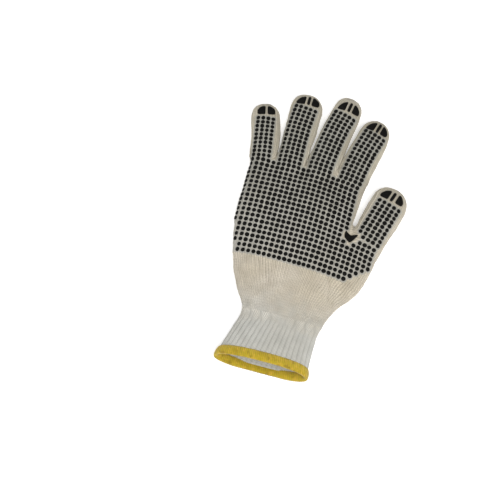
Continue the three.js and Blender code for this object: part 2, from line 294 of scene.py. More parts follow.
# Plain knitting, chains of V stitches: the piece's "knit" map counts wales and courses
def makeCloth(name):
    look, yarn = clothLooks[name], clothYarn
    material, tree, shader = newMaterial(
        name, Roughness=0.92, Sheen_Weight=0.22, Sheen_Roughness=0.6, Specular_IOR_Level=0.2)
    place = objectPlace(tree)
    upDown = split(tree, place)[1]
    wide, long = knitPlace(tree)
    loose = calc(tree, "SUBTRACT", noiseAt(tree, place, yarn["loose"]), 0.5)
    drift = times(tree, loose, look["wobble"])
    across, along = plus(tree, wide, drift), plus(tree, long, drift)

    fromMiddle = calc(tree, "PINGPONG", times(tree, across, 2.0), 1.0)
    leg = calc(tree, "MAXIMUM", calc(tree, "SINE", times(tree, fromMiddle, math.pi)), 0.0)
    leg = calc(tree, "POWER", leg, yarn["legPower"])
    slanted = plus(tree, along, times(tree, fromMiddle, look["legSlant"]))
    course = calc(tree, "POWER", ripple(tree, slanted), yarn["coursePower"])
    depth = look["courseDepth"]
    height = times(tree, leg, plus(tree, times(tree, course, depth), 1 - depth))
    fibres = noiseAt(tree, place, *yarn["fibres"])
    relief = plus(tree, height, times(tree, fibres, yarn["fibreShare"]))

    blotches = noiseShare(tree, place, yarn["blotches"])
    worn = times(tree, noiseShare(tree, place, *yarn["worn"]), yarn["wornShare"])
    # Painted shade: the colour darkens into the stitch grooves and is lightest on the raised yarn,
    # by the stitch height
    paintedStitchLight = ranged(tree, relief, yarn["paintedShadeBand"])

    def yarnColor(colors):
        shade = fromSrgb(*colors["shade"])
        light = blendColor(tree, blotches, fromSrgb(*colors["light"]), fromSrgb(*colors["warm"]))
        # painted shade colour in the grooves; the worn patches take the same colour as real wear
        return blendColor(tree, paintedStitchLight, shade, blendColor(tree, worn, light, shade))

    edge = plus(tree, upDown, times(tree, loose, yarn["wristWander"]))
    wrist = ranged(tree, edge, yarn["wristBand"], interpolation_type="SMOOTHSTEP")
    cream, grey = yarnColor(clothLooks["knitCotton"]), yarnColor(clothLooks["ribCotton"])
    color = blendColor(tree, wrist, cream, grey)
    if name == "knitCotton":
        printed = addNode(tree, "ShaderNodeAttribute", attribute_name="printed").outputs["Fac"]
        printed = times(tree, printed, look["printedShare"])
        color = blendColor(tree, printed, color, fromSrgb(*look["printed"]))
        # Painted shade: the colour is multiplied darker from the palm toward the fingertips
        reach = ranged(tree, upDown, look["paintedFingerShadeBand"])
        color = blendColor(tree, reach, color, look["paintedFingerShade"], blend_type="MULTIPLY")
    else:
        # Painted shade: the colour darkens in the furrows between the ribs
        crown = calc(tree, "ABSOLUTE", calc(tree, "COSINE", times(tree, across, math.pi / 2)))
        paintedFurrowShade = calc(tree, "POWER", calc(tree, "SUBTRACT", 1.0, crown), look["furrowShadePower"])
        paintedFurrowShade = times(tree, paintedFurrowShade, ranged(tree, upDown, look["furrowShadeBand"], look["furrowShadeShare"]))
        color = blendColor(tree, paintedFurrowShade, color, fromSrgb(*look["shade"]))
    finishMaterial(tree, shader, color, relief, yarn["bump"], look["relief"])
    return material


hemLook = {
    # shade is painted into the grooves of the yarn; the last band is the height over which it gives
    # way to the light colour
    "light": (183, 160, 30), "shade": (132, 106, 8), "paintedShadeBand": (0.0, 0.8),
    "tints": (  # colour, and scale, detail and band of the noise that takes it
        ((163, 140, 14), (90.0, 2.0, (0.35, 0.65))),
        ((201, 163, 52), (420.0, 3.0, (0.48, 0.75))),
        ((128, 104, 6), (260.0, 3.0, (0.55, 0.75))),
    ),
    "lay": 1.4, "strandShare": 0.6, "twists": 9.0, "twistShare": 0.25,
    "fibres": (2400.0, 3.0), "fibreShare": 0.4, "bump": 0.8, "relief": 0.0004,
}


def makeHemYarn():
    look = hemLook
    material, tree, shader = newMaterial(
        "hemYarn", Roughness=0.88, Sheen_Weight=0.25, Sheen_Roughness=0.6, Specular_IOR_Level=0.2)
    place = objectPlace(tree)
    wide, long = knitPlace(tree)
    strand = ripple(tree, plus(tree, wide, times(tree, long, look["lay"])))
    twist = ripple(tree, calc(tree, "SUBTRACT", times(tree, long, look["twists"]), wide))
    fibres = noiseAt(tree, place, *look["fibres"])
    relief = plus(tree, times(tree, strand, look["strandShare"]),
                  times(tree, twist, look["twistShare"]))
    relief = plus(tree, relief, times(tree, fibres, look["fibreShare"]))
    light = fromSrgb(*look["light"])
    for tint, spread in look["tints"]:
        light = blendColor(tree, noiseShare(tree, place, *spread), light, fromSrgb(*tint))
    # Painted shade: darker into the grooves between strands and twists, by the yarn's height
    color = blendColor(tree, ranged(tree, relief, look["paintedShadeBand"]), fromSrgb(*look["shade"]), light)
    finishMaterial(tree, shader, color, relief, look["bump"], look["relief"])
    return material


gripLook = {
    "dark": (5, 5, 4), "light": (14, 13, 10), "mottle": (700.0, 3.0),
    "roughMottle": 300.0, "rough": (0.42, 0.66), "grain": 1500.0, "bump": 0.5, "relief": 0.0002,
}


def makeGripPrint():
    look = gripLook
    material, tree, shader = newMaterial("gripPrint", Specular_IOR_Level=0.1)
    place = objectPlace(tree)
    mottle = noiseShare(tree, place, *look["mottle"])
    color = blendColor(tree, mottle, fromSrgb(*look["dark"]), fromSrgb(*look["light"]))
    rough = ranged(tree, noiseShare(tree, place, look["roughMottle"]), (0.0, 1.0), look["rough"])
    tree.links.new(rough, shader.inputs["Roughness"])
    grain = noiseAt(tree, place, look["grain"])
    finishMaterial(tree, shader, color, grain, look["bump"], look["relief"])
    return material


knitCotton = makeCloth("knitCotton")
ribCotton = makeCloth("ribCotton")
hemYarn = makeHemYarn()
gripPrint = makeGripPrint()
print("materials made")

# The knitted hand: the palm by its edges, a finger by its centre line, width and height
sectionPower = 2.35  # how square a tube's section is
bellyShare = 0.42  # height of its widest place, as a share of the whole
pressedDepth = 0.9  # millimetres that its round would go below the floor
palmEdges = {
    "y": (-66, -58, -48, -38, -28, -16, -4, 5, 13, 20, 32, 45, 54, 61),
    "left": (-29.5, -33.5, -39.5, -44.5, -48.0, -51.5, -54.2,
             -55.8, -56.7, -57.1, -57.3, -57.0, -56.4, -55.8),
    "right": (36.0, 38.2, 43.0, 51.5, 57.0, 60.3, 61.8, 57.0, 46.5, 40.2, 39.2, 40.0, 40.5, 40.9),
    "height": (14.5, 15.0, 15.6, 16.2, 16.5, 16.5, 16.2, 15.8, 15.4, 15.0, 14.2, 12.8, 10.8, 8.8),
}
fingerLines = {
    "pinky": {
        "points": ((-44.6, 56), (-46.0, 67), (-48.1, 80), (-50.7, 90), (-53.2, 100),
                   (-55.5, 110.4)),
        "width": (21.6, 21.8, 21.8, 21.9, 21.8, 21.0),
        "height": (11.4, 11.8, 11.8, 11.6, 11.2, 10.6),
    },
    "ring": {
        "points": ((-21.6, 56), (-21.7, 68), (-21.8, 85), (-22.0, 100), (-22.1, 114), (-22.2, 127)),
        "width": (24.8, 25.0, 25.4, 25.9, 26.2, 25.8),
        "height": (12.2, 12.6, 12.6, 12.4, 11.8, 11.2),
    },
    "middle": {
        "points": ((3.3, 56), (4.8, 76), (6.9, 92), (9.4, 106), (11.8, 119), (14.0, 132.6)),
        "width": (26.0, 26.6, 26.4, 25.4, 24.6, 24.2),
        "height": (12.6, 12.8, 12.8, 12.4, 11.8, 11.2),
    },
    "index": {
        "points": ((28.0, 56), (31.2, 76), (34.0, 89), (37.4, 102), (41.6, 118)),
        "width": (25.0, 25.6, 25.6, 24.6, 24.0), "height": (12.4, 12.8, 12.6, 12.2, 11.2),
    },
    "thumb": {
        "points": ((43.0, -22), (49.2, 0), (54.6, 19), (59.4, 36), (63.2, 49), (67.6, 62.6)),
        "width": (27.0, 27.0, 25.6, 26.2, 25.6, 24.6),
        "height": (9.5, 13.2, 14.0, 13.6, 12.8, 11.8),
    },
}
fingerSplits = ((-35.4, 0.0), (-10.6, 0.085), (15.4, 0.19))  # x at the roots and slope of each gap
rootY = 61
lineFit = {"beyond": 3, "samples": 240, "rounds": 30, "batch": 4000}


# Length along a section's outline from mid-top, positive to the thumb side
def outlineRun(across, up, halfWidth, height):
    steps = 40
    outside = 1.2  # how far out points may lie, in half sections
    belly = bellyShare * height
    level = up - belly
    risen = level > 0
    depth = np.where(risen, height - belly, belly + pressedDepth)
    side = np.clip(np.abs(across) / halfWidth, 0, outside) ** (sectionPower / 2)
    rise = np.clip(np.abs(level) / depth, 0, outside) ** (sectionPower / 2)
    angle = np.arctan2(rise, side)

    def quarter(start, drop):
        a = start + (math.pi / 2 - start) * np.arange(steps + 1)[:, None] / steps
        x = halfWidth * np.clip(np.cos(a), 0, 1) ** (2 / sectionPower)
        z = drop * np.clip(np.sin(a), 0, 1) ** (2 / sectionPower)
        return np.hypot(np.diff(x, axis=0), np.diff(z, axis=0)).sum(0)

    zero = np.zeros_like(angle)
    upper = quarter(np.where(risen, angle, zero), height - belly)
    lower = quarter(zero, belly + pressedDepth) - quarter(angle, belly + pressedDepth)
    run = np.where(risen, upper, upper + lower)
    return run * np.sign(across)


# Where points lie along and across a finger, with its half width and height there
def followLine(points, name):
    line = fingerLines[name]
    corners = np.array(line["points"], float)
    first, last = corners[1] - corners[0], corners[-1] - corners[-2]
    beyond = lineFit["beyond"]
    corners = np.vstack([corners[0] - beyond * first, corners, corners[-1] + beyond * last])
    widths, heights = (np.pad(line[key], 1, mode="edge") for key in ("width", "height"))
    runs = runningLength(np.linalg.norm(np.diff(corners, axis=0), axis=1))
    fine = np.linspace(0, runs[-1], lineFit["samples"])
    track = np.stack([np.interp(fine, runs, corners[:, i]) for i in (0, 1)], axis=1)
    for _ in range(lineFit["rounds"]):
        track[1:-1] = (track[:-2] + 2 * track[1:-1] + track[2:]) / 4
    heading = np.gradient(track, axis=0)
    heading /= np.linalg.norm(heading, axis=1)[:, None]
    nearest = np.empty(len(points), int)
    for start in range(0, len(points), lineFit["batch"]):
        some = slice(start, start + lineFit["batch"])
        nearest[some] = ((points[some, None, :2] - track[None]) ** 2).sum(2).argmin(1)
    offset = points[:, :2] - track[nearest]
    toward = heading[nearest]
    along = fine[nearest] + (offset * toward).sum(1) - runs[1]
    across = offset[:, 0] * toward[:, 1] - offset[:, 1] * toward[:, 0]
    halfWidth = np.interp(fine, runs, widths)[nearest] / 2
    height = np.interp(fine, runs, heights)[nearest]
    return along, across, halfWidth, height


knitSize = {
    "wale": 2.6, "course": 2.1,  # millimetres across one chain of stitches, and along one row
    "drawnBelow": -16,  # the palm's wales come closer together below this y
    "fingerBlend": 7,  # the knit turns into a finger this far around rootY
    "seamJump": 20,  # wales between neighbours that only the seam has
}
thumbSeam = {  # the line on which the knit of the palm gives way to the thumb's
    "corner": (40.35, 17.2), "slope": -0.27, "blend": 6, "sideBlend": 1.5, "wholeAbove": 2,
    "gapX": 43, "gapLean": 0.12, "gapFrom": 30,  # left of this line is the index finger
    "top": 80, "shift": 4.0,
}


def thumbShare(x, y):
    look = thumbSeam
    (cornerX, cornerY), slope = look["corner"], look["slope"]
    blend, side = look["blend"], look["sideBlend"]
    seam = ((y - cornerY) - slope * (x - cornerX)) / math.hypot(1, slope)
    share = smoothStep(-blend, blend, seam) * smoothStep(cornerX - side, cornerX + side, x)
    whole = (y > cornerY + look["wholeAbove"]) & (x > cornerX + side)
    gap = look["gapX"] + look["gapLean"] * (y - cornerY)
    onPalm = (y > cornerY) & (x < cornerX)
    onIndex = (y > look["gapFrom"]) & (x < gap) | (y > look["top"])
    return np.where(onPalm | onIndex, 0.0, np.where(whole, 1.0, share))


# Counts wales across and courses along for pattern points
def knitMap(points):
    x, y, z = points.T
    left, right, height = outlineAt(palmEdges, y)
    middle, halfWidth = (left + right) / 2, (right - left) / 2
    lowLeft, lowRight, _ = outlineAt(palmEdges, knitSize["drawnBelow"])
    drawn = (lowRight - lowLeft) / (2 * halfWidth)
    drawnIn = np.where(y < knitSize["drawnBelow"], drawn, 1.0)
    wide = middle + outlineRun(x - middle, z, halfWidth, height) * drawnIn
    long = y.copy()

    def turnInto(name, share, shift=0.0):
        chosen = share > 0
        along, across, half, tall = followLine(points[chosen], name)
        startX, startY = fingerLines[name]["points"][0]
        run = outlineRun(across, z[chosen], half, tall)
        wide[chosen] += share[chosen] * (startX + shift + run - wide[chosen])
        long[chosen] += share[chosen] * (startY + along - long[chosen])

    gapsPassed = np.sum([x >= x0 + lean * (y - rootY) for x0, lean in fingerSplits], axis=0)
    inFinger = smoothStep(rootY - knitSize["fingerBlend"], rootY + knitSize["fingerBlend"], y)
    for k, name in enumerate(("pinky", "ring", "middle", "index")):
        turnInto(name, np.where(gapsPassed == k, inFinger, 0))
    turnInto("thumb", thumbShare(x, y), thumbSeam["shift"])
    return wide / knitSize["wale"], long / knitSize["course"]


knitHand = {  # reliefs and pattern y in millimetres, voxels, heights and walls in metres
    "voxel": 0.00195, "rounds": 4,
    "wristCut": -66.1,  # pattern y of the rim at the cuff
    "sleeveCut": -88,  # and of the sleeve that the hand is remeshed with
    "liningVoxel": 0.0028, "wall": 0.0015, "liningFloor": 0.0014,
    "spread": {"pinky": -0.68, "ring": -0.23, "middle": 0.23, "index": 0.68},
    "leastGap": 0.01,  # fingers are spread apart while they are remeshed
    "fineAbove": 0.0024, "fineCuts": 2,
    "waleRelief": 0.36, "walePower": 0.7, "waleMean": 0.7,
    "courseRelief": 0.16, "courseSlant": 0.75, "courseMean": 0.64,
    "slackRelief": 0.45, "slackSize": 19.0,
    "creaseRelief": 0.30, "creaseSize": 7.0, "creaseStretch": (1.0, 0.55, 0.6),
    "creaseShare": (0.35, 1.25), "creaseBand": (-62, -20),  # most near the wrist
    "grow": 0.3,  # fullness that the smoothing took away
    "growShare": 0.35, "growBand": (-66, -56), "rimBand": (-66.5, -63),  # less at the rim
    "liftBand": (0.2, 3.0), "underShare": 0.15,  # relief where the glove rests on its back
    "touch": 0.08, "touchEnds": (74, 82),  # fingers touch up to this y
    "touchStart": 3, "touchBand": (1.0, 2.2), "touchDepth": 1.2,
}
handNodes = ("knit_palm", "pinky_finger", "ring_finger", "middle_finger", "index_finger", "thumb")


# Sideways shifts in millimetres by pattern y, for where the laid-out glove is fuller than its
# pattern. Each is whole near an edge, on the side given, and fades inward.
fullness = {
    "thumb": {
        "y": (-60, -45, -32, -17, -2, 5, 13, 20, 28, 44, 51, 57, 66),
        "edge": (38.0, 46.5, 54.5, 60.3, 62.4, 64.0, 65.9, 67.6, 70.0, 74.6, 76.6, 78.4, 80.5),
        "shift": (0.0, 0.7, 1.5, 1.5, 1.5, 2.0, 2.2, 2.2, 2.9, 2.9, 2.2, 0.8, 0.2),
        "side": 1, "fade": 13,
    },
    "index": {
        "y": (24, 29, 33, 40, 47, 54, 60, 72, 80, 88, 97, 104, 109),
        "edge": (39.7, 38.2, 38.0, 38.5, 39.0, 38.9, 39.8, 41.6, 43.0, 44.5, 46.2, 47.3, 48.0),
        "shift": (0.0, 1.2, 1.55, 1.1, 0.9, 1.5, 1.9, 1.8, 2.0, 2.35, 1.8, 0.8, 0.0),
        "side": 1, "fade": 11,
    },
    "thumbInside": {
        "y": (21.5, 25.5, 29.4, 33, 37, 41, 45, 52, 56, 61, 68),
        "edge": (39.9, 41.8, 43.2, 44.1, 45.3, 46.5, 47.7, 49.8, 51.4, 55.4, 60.0),
        "shift": (0.0, 0.5, 1.05, 1.15, 1.45, 1.55, 1.65, 1.65, 1.9, 1.3, 0.0),
        "side": -1, "fade": 11,
    },
    "palm": {
        "y": (-10, 5, 17, 30, 43, 50, 60), "shift": (0.0, 0.6, 1.3, 2.0, 1.6, 0.8, 0.0),
        "side": -1, "fade": 14,
    },
    "thumbTop": 76,  # above this y only the index finger is left
    "ring": {"shift": 1.3, "half": 12.5, "limit": 1.12, "from": (78, 92), "to": (112, 124)},
    "pinky": {"shift": 1.25, "half": 10.6, "limit": 1.15, "left": (54, 66), "right": (68, 88)},
}


def shiftAt(table, edge, x, y):
    side = table["side"]
    share = smoothStep(side * edge - table["fade"], side * edge - 1, side * x)
    return readAt(table, "shift", y) * share


# Distance from a finger's middle in half widths, and nothing past its limit
def acrossFinger(name, x, y):
    finger = fullness[name]
    line = np.array(fingerLines[name]["points"], float)
    across = (x - np.interp(y, line[:, 1], line[:, 0])) / finger["half"]
    return np.where(across < finger["limit"], across, 0)


def fillOut(bm):
    x, y, _ = inPattern(vertexArray(bm)).T
    thumb, index, inside, palm = (fullness[k] for k in ("thumb", "index", "thumbInside", "palm"))
    shift = shiftAt(thumb, readAt(thumb, "edge", y), x, y)
    indexEdge, insideEdge = readAt(index, "edge", y), readAt(inside, "edge", y)
    gap, pastThumb = (indexEdge + insideEdge) / 2, y > fullness["thumbTop"]
    shift += shiftAt(index, indexEdge, x, y) * ((x < gap) | pastThumb)
    shift -= shiftAt(inside, insideEdge, x, y) * ((x > gap) & ~pastThumb)
    shift += shiftAt(palm, readAt(palmEdges, "left", y), x, y)
    pinky, ring = fullness["pinky"], fullness["ring"]
    across = acrossFinger("pinky", x, y)
    onPinky = np.where(across < 0, smoothStep(*pinky["left"], y), smoothStep(*pinky["right"], y))
    shift += onPinky * pinky["shift"] * np.clip(across, -1, 1)
    onRing = smoothStep(*ring["from"], y) * (1 - smoothStep(*ring["to"], y))
    shift += onRing * ring["shift"] * np.clip(acrossFinger("ring", x, y), 0, 1)
    for vertex, step in zip(bm.verts, shift):
        vertex.co.x += float(step) * milli


# Brings a spread hand's points back: the gap between two fingers closes to a crease
def closeFingers(bm):
    slopes = list(knitHand["spread"].values())
    for vertex in bm.verts:
        x, y, _ = inPattern(np.array(vertex.co))
        reach = y - rootY
        if reach <= 0:
            continue
        knots, shifts = [], []
        for (x0, lean), low, high in zip(fingerSplits, slopes, slopes[1:]):
            middle = x0 + lean * reach + reach * (low + high) / 2
            halfGap = reach * (high - low) / 2 + knitHand["leastGap"]
            knots += [middle - halfGap, middle + halfGap]
            shifts += [low * reach, high * reach]
        vertex.co.x -= float(np.interp(x, knots, shifts)) * milli


# Takes away what lies past a pattern y, toward the mouth
def cutAt(bm, y):
    bmesh.ops.bisect_plane(bm, geom=bm.verts[:] + bm.edges[:] + bm.faces[:],
                           plane_co=spot(0, y), plane_no=(0, -1, 0), clear_outer=True)


def makeHandShell():
    bm = bmesh.new()
    nodeCopy(bm, "knit_palm", "thumb")
    for name, slope in knitHand["spread"].items():
        finger = bmesh.new()
        nodeCopy(finger, name + "_finger")
        for vertex in finger.verts:
            vertex.co.x += slope * max(0, vertex.co.y - spot(0, rootY).y)
        takeIn(bm, finger)
    sleeve = bmesh.new()
    nodeCopy(sleeve, "ribbed_cuff")
    cutAt(sleeve, knitHand["sleeveCut"])
    bmesh.ops.holes_fill(sleeve, edges=sleeve.edges, sides=0)
    takeIn(bm, sleeve)
    shell = remeshed(bm, knitHand["voxel"])
    smoothed(shell, knitHand["rounds"])
    return shell


# The inside of the knit: a coarser skin, a wall's thickness in and turned round
def makeLining(bm):
    cutAt(bm, knitHand["wristCut"])
    bm.normal_update()
    for vertex in bm.verts:
        vertex.co -= vertex.normal * knitHand["wall"]
        vertex.co.z = max(vertex.co.z, knitHand["liningFloor"])
    bmesh.ops.reverse_faces(bm, faces=bm.faces)


handShell = makeHandShell()
print("hand shell", len(handShell.verts))

lining = remeshed(handShell.copy(), knitHand["liningVoxel"])
makeLining(lining)
for skin in (handShell, lining):
    closeFingers(skin)
    fillOut(skin)
wristTree = BVHTree.FromBMesh(handShell)  # with the sleeve, for the start of the cuff
cutAt(handShell, knitHand["wristCut"])


def slackAt(point, size, stretch=(1, 1, 1)):
    at = Vector([value * factor for value, factor in zip(point, stretch)]) / size
    return noise.fractal(at, 1.0, 2.0, 2)


# Raises the stitches, the slack and the creases of the knit
def dressHand(bm):
    look = knitHand
    edges = [edge for edge in bm.edges
             if any(face.calc_center_median().z > look["fineAbove"] for face in edge.link_faces)]
    bmesh.ops.subdivide_edges(bm, edges=edges, cuts=look["fineCuts"], use_grid_fill=True)
    bm.normal_update()
    points = inPattern(vertexArray(bm))
    x, y, z = points.T
    wide, long = knitMap(points)
    ridge = np.abs(np.sin(math.pi * wide)) ** look["walePower"] - look["waleMean"]
    legs = np.abs(wide % 1 * 2 - 1)
    rows = np.abs(np.sin(math.pi * (long + look["courseSlant"] * legs))) - look["courseMean"]
    slack = np.array([slackAt(p, look["slackSize"]) for p in points])
    crease = np.array([slackAt(p, look["creaseSize"], look["creaseStretch"]) for p in points])
    nearWrist = 1 - smoothStep(*look["creaseBand"], y)
    relief = look["waleRelief"] * ridge + look["courseRelief"] * rows + look["slackRelief"] * slack
    relief += look["creaseRelief"] * crease * between(*look["creaseShare"], nearWrist)
    lifted = smoothStep(*look["liftBand"], z)
    relief *= between(look["underShare"], 1, lifted) * smoothStep(*look["rimBand"], y)
    fuller = between(look["growShare"], 1, smoothStep(*look["growBand"], y))
    relief += look["grow"] * lifted * fuller
    beside = np.min([np.abs(x - x0 - lean * (y - rootY)) for x0, lean in fingerSplits], axis=0)
    pressed = 1 - smoothStep(*look["touchBand"], beside)
    pressed *= smoothStep(rootY, rootY + look["touchStart"], y)
    pressed *= 1 - smoothStep(*look["touchEnds"], y)
    facing = np.array([abs(v.normal.x) for v in bm.verts])
    closing = (np.minimum(beside, look["touchDepth"]) + look["touch"]) * facing
    relief = between(relief, closing, pressed)
    for vertex, out in zip(bm.verts, relief):
        vertex.co += vertex.normal * float(out) * milli
        vertex.co.z = max(vertex.co.z, clearance * milli)


dressHand(handShell)
handTree = BVHTree.FromBMesh(handShell)


def mapKnit(bm, wideUnits, longUnits):
    layer = bm.loops.layers.uv.new("knit")
    for face in bm.faces:
        base = wideUnits[face.loops[0].vert.index]
        for loop in face.loops:
            wide = wideUnits[loop.vert.index]
            if abs(wide - base) > knitSize["seamJump"]:
                wide = base
            loop[layer].uv = (wide, longUnits[loop.vert.index])


# Marks the knit around the print, which is flatter and greyer
printMark = {"fade": (2.3, 3.5), "above": 5}  # millimetres from a dot and from the floor


def markPrint(bm):
    places = dotPlaces()
    tree = KDTree(len(places))
    for i, (x, y) in enumerate(places):
        tree.insert((x, y, 0), i)
    tree.balance()
    layer = bm.verts.layers.float.new("printed")
    for vertex in bm.verts:
        x, y, z = inPattern(np.array(vertex.co))
        share = 1 - smoothStep(*printMark["fade"], tree.find((x, y, 0))[2])
        vertex[layer] = float(share) * (z > printMark["above"])


def makeKnitHand():
    bm = handShell
    takeIn(bm, lining)
    bmesh.ops.bridge_loops(bm, edges=[edge for edge in bm.edges if edge.is_boundary])
    bm.verts.index_update()
    mapKnit(bm, *knitMap(inPattern(vertexArray(bm))))
    markPrint(bm)
    hand = newPiece("knit_hand", bm, knitCotton)
    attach(hand, "root")
    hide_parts(*handNodes)
    print("knitted hand", len(hand.data.polygons))


# Grip dots: rows across the palm, with columns on into the fingers and thumb
gripDots = {
    "radius": 1.8, "fingerShare": 0.955, "height": 0.42, "sunk": 0.9, "lift": 0.18,
    "sides": 12, "rings": 6, "flatness": 0.5, "shoulder": 3,
    "jitter": 0.09, "sizes": (0.94, 1.06), "ovals": (0.95, 1.05),
    "palmColumns": ((-53.7, 4.38, 5), (-31.8, 4.17, 17)),  # first x, pitch, count
    "rows": 20, "topRow": 58.2, "rowPitch": 3.98, "rowGrowth": 0.0115,
    "rowSlope": (0.06, -0.0018), "rowBend": (0.002, -0.00004),  # toward the thumb, and by row
    "fanFrom": 50, "fan": (0.04, 0.003),  # columns lean to the thumb below the fingers
    "heelPull": 0.04, "heelPullFull": 12,  # and back below y = 0, in full from this x
    "sideColumn": -50, "sideDrop": 0.6, "sideBand": (50, 58),  # top of the side's own column
    "heelColumn": 39.1, "heelRowX": 38.8, "heelRow": 13,  # one more column, from this row on
    "columnPitch": 4.15, "fingerRowPitch": 3.75,
    "bareEdge": ((-20, 10), (2.5, 0.0)),  # bare knit at the little finger's side, by pattern y
    "roundBand": 1.5, "roundHeight": 9.0,  # dots this near that side sit on its round
    "patchClear": (39.9, 6.2, 6.3, 17.5),  # middle x, half width, low y and high y left bare
    "seatReach": 1.3, "seatLowest": 4, "seatDrop": 2.0, "seatProud": 0.4,
    "sideReach": (1.2, 1.0), "sideProud": 0.1,
}
dotTracks = {  # columns of a finger, and their middle from the root to the last row
    "pinky": (4, ((-46.9, 52), (-47.1, 60), (-47.9, 67), (-49.8, 80), (-51.9, 94.5))),
    "ring": (5, ((-23.2, 52), (-23.6, 80), (-23.4, 95), (-21.9, 111.5))),
    "middle": (5, ((1.9, 52), (2.4, 66), (3.9, 78), (5.7, 91), (8.0, 103), (10.9, 113.6))),
    "index": (5, ((27.4, 50), (29.6, 66), (31.8, 77), (34.3, 88), (38.8, 102.6))),
}
thumbDots = {
    "points": ((53.2, 9.5), (56.1, 20), (59.4, 31), (62.6, 42.0), (63.7, 45.3)),
    "rowPitch": 3.88, "columnPitch": 4.42, "columns": 5,
    # the palm's rows on the ball of the thumb, and how columns lean there: from y, by millimetre
    "ballX": 51.0, "ballPitch": 4.12, "firstRow": 11, "lastRow": 17,
    "ballLean": ((-4, 0.03), (-2, 0.13)),
}


# Height and facing of the knit around a point, level with its raised stitches
def seatAt(x, y):
    look = gripDots
    reach, turns = look["seatReach"], [k * math.pi / 4 for k in range(8)]
    steps = [(0, 0)] + [(reach * math.cos(a), reach * math.sin(a)) for a in turns]
    heights = np.array([heightOn(handTree, spot(x + dx, y + dy)) / milli for dx, dy in steps])
    if heights[0] < look["seatLowest"]:
        return None, None
    rows = np.array([(1, dx, dy) for dx, dy in steps])
    heights = np.maximum(heights, heights[0] - look["seatDrop"])
    level, slopeX, slopeY = np.linalg.lstsq(rows, heights, rcond=None)[0]
    proud = heights - rows @ np.array((level, slopeX, slopeY))
    center = spot(x, y, level + look["seatProud"] * proud.max())
    return center, Vector((-slopeX, -slopeY, 1)).normalized()


def sideSeat(x, y, z):
    alongStep, upStep = gripDots["sideReach"]
    found = [handTree.find_nearest(spot(x, y + dy, z + dz))
             for dy in (-alongStep, 0, alongStep) for dz in (-upStep, 0, upStep)]
    normal = sum((item[1] for item in found), Vector()).normalized()
    return found[4][0] + normal * gripDots["sideProud"] * milli, normal


def rowHeight(row, x):
    look = gripDots
    reach = max(x, 0)
    slope, bend = (look[key][0] + look[key][1] * row for key in ("rowSlope", "rowBend"))
    straight = look["topRow"] - look["rowPitch"] * row - look["rowGrowth"] * row * row
    return straight - (slope * reach + bend * reach * reach)


# Places along a track from its far end, with the track's direction at each
def walkBack(points, pitch):
    corners = [Vector(p) for p in reversed(points)]
    steps = [after - corner for corner, after in zip(corners, corners[1:])]
    places, used = [], 0.0
    for corner, step, before in zip(corners, steps, steps[:1] + steps):
        while used <= step.length:
            share = min(used / step.length, 1)
            heading = -(step.normalized() * share + before.normalized() * (1 - share)).normalized()
            places.append((corner + step.normalized() * used, heading))
            used += pitch
        used -= step.length
    return places


def rowAcross(at, heading, columns, pitch):
    for k in range(columns):
        across = (k - (columns - 1) / 2) * pitch
        yield at.x + heading.y * across, at.y - heading.x * across


def palmDots():
    look = gripDots
    for first, pitch, count in look["palmColumns"]:
        for k in range(count):
            column = first + pitch * k
            fan = look["fan"][0] + look["fan"][1] * max(column, 0)
            pull = look["heelPull"] * min(max(column / look["heelPullFull"], 0), 1)
            for row in range(look["rows"]):
                y = rowHeight(row, column)
                if column < look["sideColumn"]:
                    y -= look["sideDrop"] * float(smoothStep(*look["sideBand"], y))
                yield column + max(0, y - look["fanFrom"]) * fan + min(y, 0) * pull, y
    for row in range(look["heelRow"], look["rows"]):
        y = rowHeight(row, look["heelRowX"])
        yield look["heelColumn"] + look["heelPull"] * min(y, 0), y


def fingerDots():
    for columns, points in dotTracks.values():
        length = sum((Vector(b) - Vector(a)).length for a, b in zip(points, points[1:]))
        length -= rowHeight(0, points[0][0]) - points[0][1]
        rows = round(length / gripDots["fingerRowPitch"])
        for at, heading in walkBack(points, length / rows)[:rows]:
            yield from rowAcross(at, heading, columns, gripDots["columnPitch"])


def ballOfThumbDots():
    look = thumbDots
    for at, heading in walkBack(look["points"], look["rowPitch"]):
        yield from rowAcross(at, heading, look["columns"], look["columnPitch"])
    (lowY, lowLean), (highY, highLean) = look["ballLean"]
    beside = look["columns"] // 2
    for column in range(-beside, beside + 1):
        for row in range(look["firstRow"], look["lastRow"] - column + 1):
            x = look["ballX"] + look["ballPitch"] * column
            y = rowHeight(row, x)
            yield x + lowLean * min(y - lowY, 0) + highLean * max(y - highY, 0), y


def dotPlaces():
    middle, halfWidth, low, high = gripDots["patchClear"]
    places = [*palmDots(), *fingerDots(), *ballOfThumbDots()]
    return [(x, y) for x, y in places if abs(x - middle) > halfWidth or not low < y < high]


# One dot of unit radius: a ball with a flatter crown and a round shoulder
def makeOneDot():
    look = gripDots
    bm = bmesh.new()
    bmesh.ops.create_uvsphere(bm, u_segments=look["sides"], v_segments=look["rings"], radius=1)
    for vertex in bm.verts:
        x, y, z = vertex.co
        rise = math.copysign(abs(z) ** look["flatness"], z)
        spread = math.sqrt(max(1 - abs(rise) ** look["shoulder"], 0))
        spread /= max(math.hypot(x, y), 1e-6)
        height = look["height" if rise > 0 else "sunk"]
        vertex.co = (x * spread, y * spread, look["lift"] + rise * height)
    return toMesh("dot", bm)


